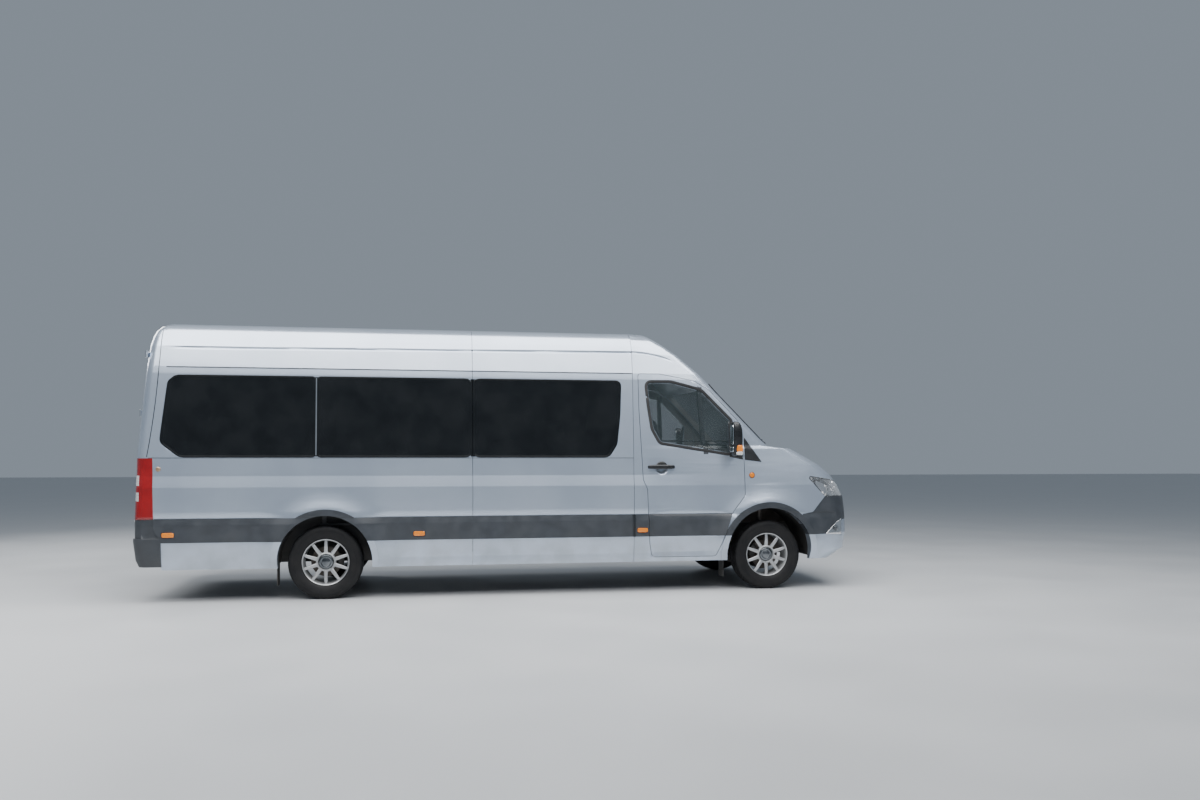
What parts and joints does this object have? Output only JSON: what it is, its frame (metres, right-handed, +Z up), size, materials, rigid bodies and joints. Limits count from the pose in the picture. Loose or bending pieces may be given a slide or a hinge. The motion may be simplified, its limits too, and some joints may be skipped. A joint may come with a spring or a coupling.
{
  "type": "minibus",
  "caption": "High-roof minibus with glazed sides, sliding passenger door, hinged cab and rear doors, bonnet and steered front wheels.",
  "frame": {"origin": "on the ground under the middle of the vehicle's box", "axes": "+X forward along the vehicle, +Y to its left, +Z up"},
  "size_m": [7, 2.37, 2.61],
  "materials": {
    "paint": "light silver blue metallic paint",
    "cladding": "grained dark grey plastic",
    "glass": "clear tinted cab glass",
    "privacy_glass": "dark privacy glass",
    "lamp": "clear lamp lens",
    "tail_lamp": "red lamp lens",
    "tyre": "black tyre rubber",
    "alloy": "satin silver alloy",
    "chassis": "black chassis paint",
    "cast": "bare cast iron",
    "exhaust": "dull steel",
    "interior": "grained dark trim",
    "seat": "dark woven seat cloth",
    "tank": "black moulded plastic"
  },
  "bodies": {
    "coach": {"cab_frame": "paint", "cab_seats": "seat", "chassis": "chassis", "dashboard": "interior", "engine": "cast", "exhaust": "exhaust", "floor_pan": "interior", "front_bumper": "cladding", "front_suspension": "chassis", "front_wings": "paint", "fuel_tank": "tank", "grille": "cladding", "headlamps": "lamp", "leaf_springs": "chassis", "passenger_seats": "seat", "propeller_shaft": "chassis", "rear_axle": "chassis", "rear_bumper": "cladding", "rear_frame": "paint", "roof": "paint", "scuttle": "cladding", "side_panels": "paint", "side_trims": "cladding", "side_windows": "privacy_glass", "sliding_door": "paint", "spare_wheel": "tyre", "tail_lamps": "tail_lamp", "wheel_housings": "cladding", "windscreen": "glass"},
    "bonnet": {"bonnet": "paint"},
    "front_door_right": {"front_door_right": "paint", "front_door_glass_right": "glass", "mirror_right": "cladding"},
    "front_door_left": {"front_door_left": "paint", "front_door_glass_left": "glass", "mirror_left": "cladding"},
    "rear_door_right": {"rear_door_right": "paint", "rear_door_glass_right": "privacy_glass"},
    "rear_door_left": {"rear_door_left": "paint", "rear_door_glass_left": "privacy_glass"},
    "knuckle_right": {"knuckle_right": "cast"},
    "knuckle_left": {"knuckle_left": "cast"},
    "steering_wheel": {"steering_wheel": "interior"},
    "roadwheel_front_right": {"tyre_front_right": "tyre", "wheel_front_right": "alloy"},
    "roadwheel_front_left": {"tyre_front_left": "tyre", "wheel_front_left": "alloy"},
    "roadwheel_rear_right": {"tyre_rear_right": "tyre", "wheel_rear_right": "alloy"},
    "roadwheel_rear_left": {"tyre_rear_left": "tyre", "wheel_rear_left": "alloy"}
  },
  "joints": [
    {"name": "steer_left", "type": "hinge", "parent": "coach", "child": "knuckle_left", "pos_m": [2.515, 0.77, 0.345], "axis": [0, 0, 1], "range_deg": [-36, 36]},
    {"name": "steer_right", "type": "hinge", "parent": "coach", "child": "knuckle_right", "pos_m": [2.515, -0.77, 0.345], "axis": [0, 0, 1], "range_deg": [-36, 36]},
    {"name": "steering_wheel_turn", "type": "hinge", "parent": "coach", "child": "steering_wheel", "pos_m": [1.955, -0.4, 1.27], "axis": [-0.4695, 0, 0.8829], "range_deg": [-505, 505]},
    {"name": "bonnet_hinge", "type": "hinge", "parent": "coach", "child": "bonnet", "pos_m": [2.796, 0, 1.437], "axis": [0, -1, 0], "range_deg": [0, 60]},
    {"name": "front_door_right_hinge", "type": "hinge", "parent": "coach", "child": "front_door_right", "pos_m": [2.269, -1.021, 1], "axis": [0, 0, 1], "range_deg": [0, 68]},
    {"name": "front_door_left_hinge", "type": "hinge", "parent": "coach", "child": "front_door_left", "pos_m": [2.269, 1.021, 1], "axis": [0, 0, -1], "range_deg": [0, 68]},
    {"name": "rear_door_right_hinge", "type": "hinge", "parent": "coach", "child": "rear_door_right", "pos_m": [-3.492, -0.882, 1.4], "axis": [0, 0, 1], "range_deg": [0, 180]},
    {"name": "rear_door_left_hinge", "type": "hinge", "parent": "coach", "child": "rear_door_left", "pos_m": [-3.492, 0.882, 1.4], "axis": [0, 0, -1], "range_deg": [0, 180]},
    {"name": "roll_front_right", "type": "hinge", "parent": "knuckle_right", "child": "roadwheel_front_right", "pos_m": [2.515, -0.85, 0.345], "axis": [0, 1, 0], "continuous": true},
    {"name": "roll_front_left", "type": "hinge", "parent": "knuckle_left", "child": "roadwheel_front_left", "pos_m": [2.515, 0.85, 0.345], "axis": [0, 1, 0], "continuous": true},
    {"name": "roll_rear_right", "type": "hinge", "parent": "coach", "child": "roadwheel_rear_right", "pos_m": [-1.81, -0.85, 0.345], "axis": [0, 1, 0], "continuous": true},
    {"name": "roll_rear_left", "type": "hinge", "parent": "coach", "child": "roadwheel_rear_left", "pos_m": [-1.81, 0.85, 0.345], "axis": [0, 1, 0], "continuous": true}
  ],
  "couplings": [
    {"joint": "steer_right", "follows": "steer_left", "ratio": 1},
    {"joint": "steering_wheel_turn", "follows": "steer_left", "ratio": 14}
  ]
}
